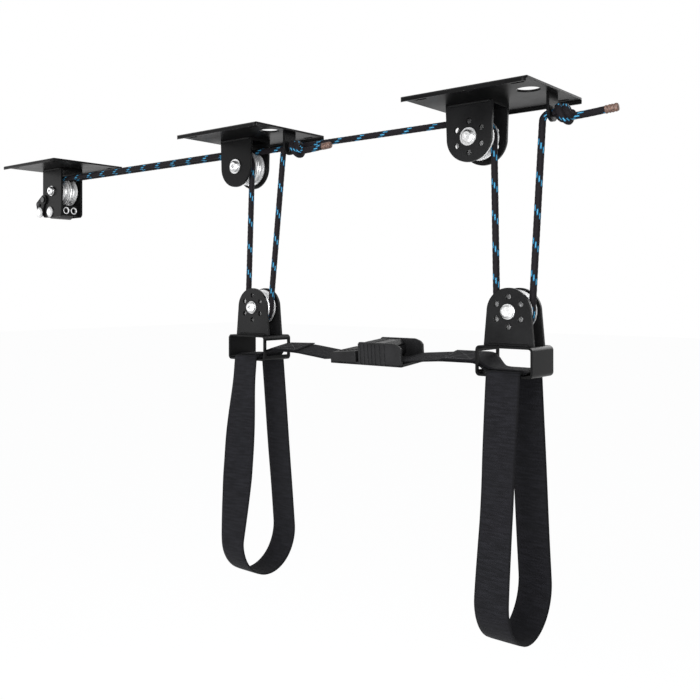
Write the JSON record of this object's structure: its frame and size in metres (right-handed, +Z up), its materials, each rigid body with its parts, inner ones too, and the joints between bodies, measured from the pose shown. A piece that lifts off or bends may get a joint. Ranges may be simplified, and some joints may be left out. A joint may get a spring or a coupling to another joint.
{
  "type": "overhead kayak hoist",
  "caption": "Ceiling hoist with slotted plates, a rope lock, pulley brackets, two rope falls, hanger blocks and webbing slings joined by a cam-buckle strap.",
  "frame": {"origin": "on the ceiling face of the middle plate, at the centre of its four slots", "axes": "+X along the hoist from the rope lock to the end bracket, +Y across it, +Z up into the ceiling"},
  "size_m": [1.2037, 0.1772, 0.708],
  "materials": {
    "black_paint": "satin black powder coat",
    "zinc": "bright zinc plate",
    "bright": "polished",
    "bronze": "plain bronze",
    "rubber_grey": "matte dark grey",
    "webbing": "black woven webbing",
    "rope": "black braid with blue tracer flecks",
    "plastic": "satin black moulding",
    "seal": "brown sealed rope end"
  },
  "bodies": {
    "ceiling_frame": {"lock_plate": "black_paint", "middle_plate": "black_paint", "end_plate": "black_paint", "lock_clevis": "black_paint", "middle_clevis": "black_paint", "end_clevis": "black_paint", "tie_tabs": "black_paint", "bracket_welds": "black_paint", "bracket_bolts": "bright", "bracket_nuts": "zinc", "bracket_washers": "zinc", "bracket_sleeves": "zinc", "bracket_spacers": "zinc", "rope_guide": "black_paint", "anvil_bolt": "bright", "anvil_sleeve": "zinc", "lock_studs": "zinc", "rope_a_run": "rope", "rope_b_run": "rope", "rope_a_down": "rope", "rope_b_down": "rope", "rope_a_back": "rope", "rope_b_back": "rope", "rope_knots": "rope", "rope_seals": "seal"},
    "lock_swing": {"lock_frame": "black_paint", "lock_roller_pin": "bright", "thumb_bar": "rubber_grey"},
    "lock_roller_body": {"lock_roller": "zinc"},
    "lock_wheel_a": {"lock_pulley_a": "zinc", "lock_bush_a": "bronze"},
    "lock_wheel_b": {"lock_pulley_b": "zinc", "lock_bush_b": "bronze"},
    "middle_wheel_a": {"middle_pulley_a": "zinc", "middle_bush_a": "bronze"},
    "middle_wheel_b": {"middle_pulley_b": "zinc", "middle_bush_b": "bronze"},
    "end_wheel": {"end_pulley": "zinc", "end_bush": "bronze"},
    "load": {"hanger_tube_a": "black_paint", "hanger_tube_b": "black_paint", "hanger_ears": "black_paint", "hanger_welds": "black_paint", "hanger_bolts": "bright", "hanger_nuts": "zinc", "hanger_washers": "zinc", "hanger_sleeves": "zinc", "hanger_spacers": "zinc", "sling_a": "webbing", "sling_b": "webbing", "link_strap_a": "webbing", "link_strap_b": "webbing", "buckle_body": "plastic", "cam_pin": "zinc", "rope_loops": "rope"},
    "hanger_wheel_a": {"hanger_pulley_a": "zinc", "hanger_bush_a": "bronze"},
    "hanger_wheel_b": {"hanger_pulley_b": "zinc", "hanger_bush_b": "bronze"},
    "cam_lever_body": {"cam_lever": "plastic"}
  },
  "joints": [
    {"name": "lift", "type": "slide", "parent": "ceiling_frame", "child": "load", "axis": [0, 0, 1], "range_m": [0, 0.16], "deforming": ["rope_a_down", "rope_b_down", "rope_a_back", "rope_b_back"]},
    {"name": "lock_release", "type": "hinge", "parent": "ceiling_frame", "child": "lock_swing", "pos_m": [-0.58875, 0.02, -0.06403], "axis": [0, 1, 0], "range_deg": [0, 40]},
    {"name": "roller_spin", "type": "hinge", "parent": "lock_swing", "child": "lock_roller_body", "pos_m": [-0.60005, 0.02, -0.09], "axis": [0, 1, 0], "continuous": true},
    {"name": "lock_spin_a", "type": "hinge", "parent": "ceiling_frame", "child": "lock_wheel_a", "pos_m": [-0.562, 0.01075, -0.0475], "axis": [0, 1, 0], "range_deg": [-734.39, 0]},
    {"name": "lock_spin_b", "type": "hinge", "parent": "ceiling_frame", "child": "lock_wheel_b", "pos_m": [-0.562, 0.02925, -0.0475], "axis": [0, 1, 0], "range_deg": [-734.39, 0]},
    {"name": "middle_spin_a", "type": "hinge", "parent": "ceiling_frame", "child": "middle_wheel_a", "pos_m": [-0.032, 0.01075, -0.0475], "axis": [0, 1, 0], "range_deg": [-734.39, 0]},
    {"name": "middle_spin_b", "type": "hinge", "parent": "ceiling_frame", "child": "middle_wheel_b", "pos_m": [-0.032, 0.02925, -0.0475], "axis": [0, 1, 0], "range_deg": [-734.39, 0]},
    {"name": "end_spin", "type": "hinge", "parent": "ceiling_frame", "child": "end_wheel", "pos_m": [0.395, 0.02925, -0.0475], "axis": [0, 1, 0], "range_deg": [-734.39, 0]},
    {"name": "hanger_spin_a", "type": "hinge", "parent": "load", "child": "hanger_wheel_a", "pos_m": [0.009, 0.01075, -0.279], "axis": [0, 1, 0], "range_deg": [0, 367.69]},
    {"name": "hanger_spin_b", "type": "hinge", "parent": "load", "child": "hanger_wheel_b", "pos_m": [0.449, 0.02925, -0.279], "axis": [0, 1, 0], "range_deg": [0, 367.69]},
    {"name": "cam_open", "type": "hinge", "parent": "load", "child": "cam_lever_body", "pos_m": [0.262, 0.01902, -0.33974], "axis": [0, 0.9962, 0.0872], "range_deg": [0, 90]}
  ],
  "couplings": [
    {"joint": "lock_spin_a", "follows": "lift", "rad_per_m": -80},
    {"joint": "lock_spin_b", "follows": "lift", "rad_per_m": -80},
    {"joint": "middle_spin_a", "follows": "lift", "rad_per_m": -80},
    {"joint": "middle_spin_b", "follows": "lift", "rad_per_m": -80},
    {"joint": "end_spin", "follows": "lift", "rad_per_m": -80},
    {"joint": "hanger_spin_a", "follows": "lift", "rad_per_m": 40},
    {"joint": "hanger_spin_b", "follows": "lift", "rad_per_m": 40}
  ]
}
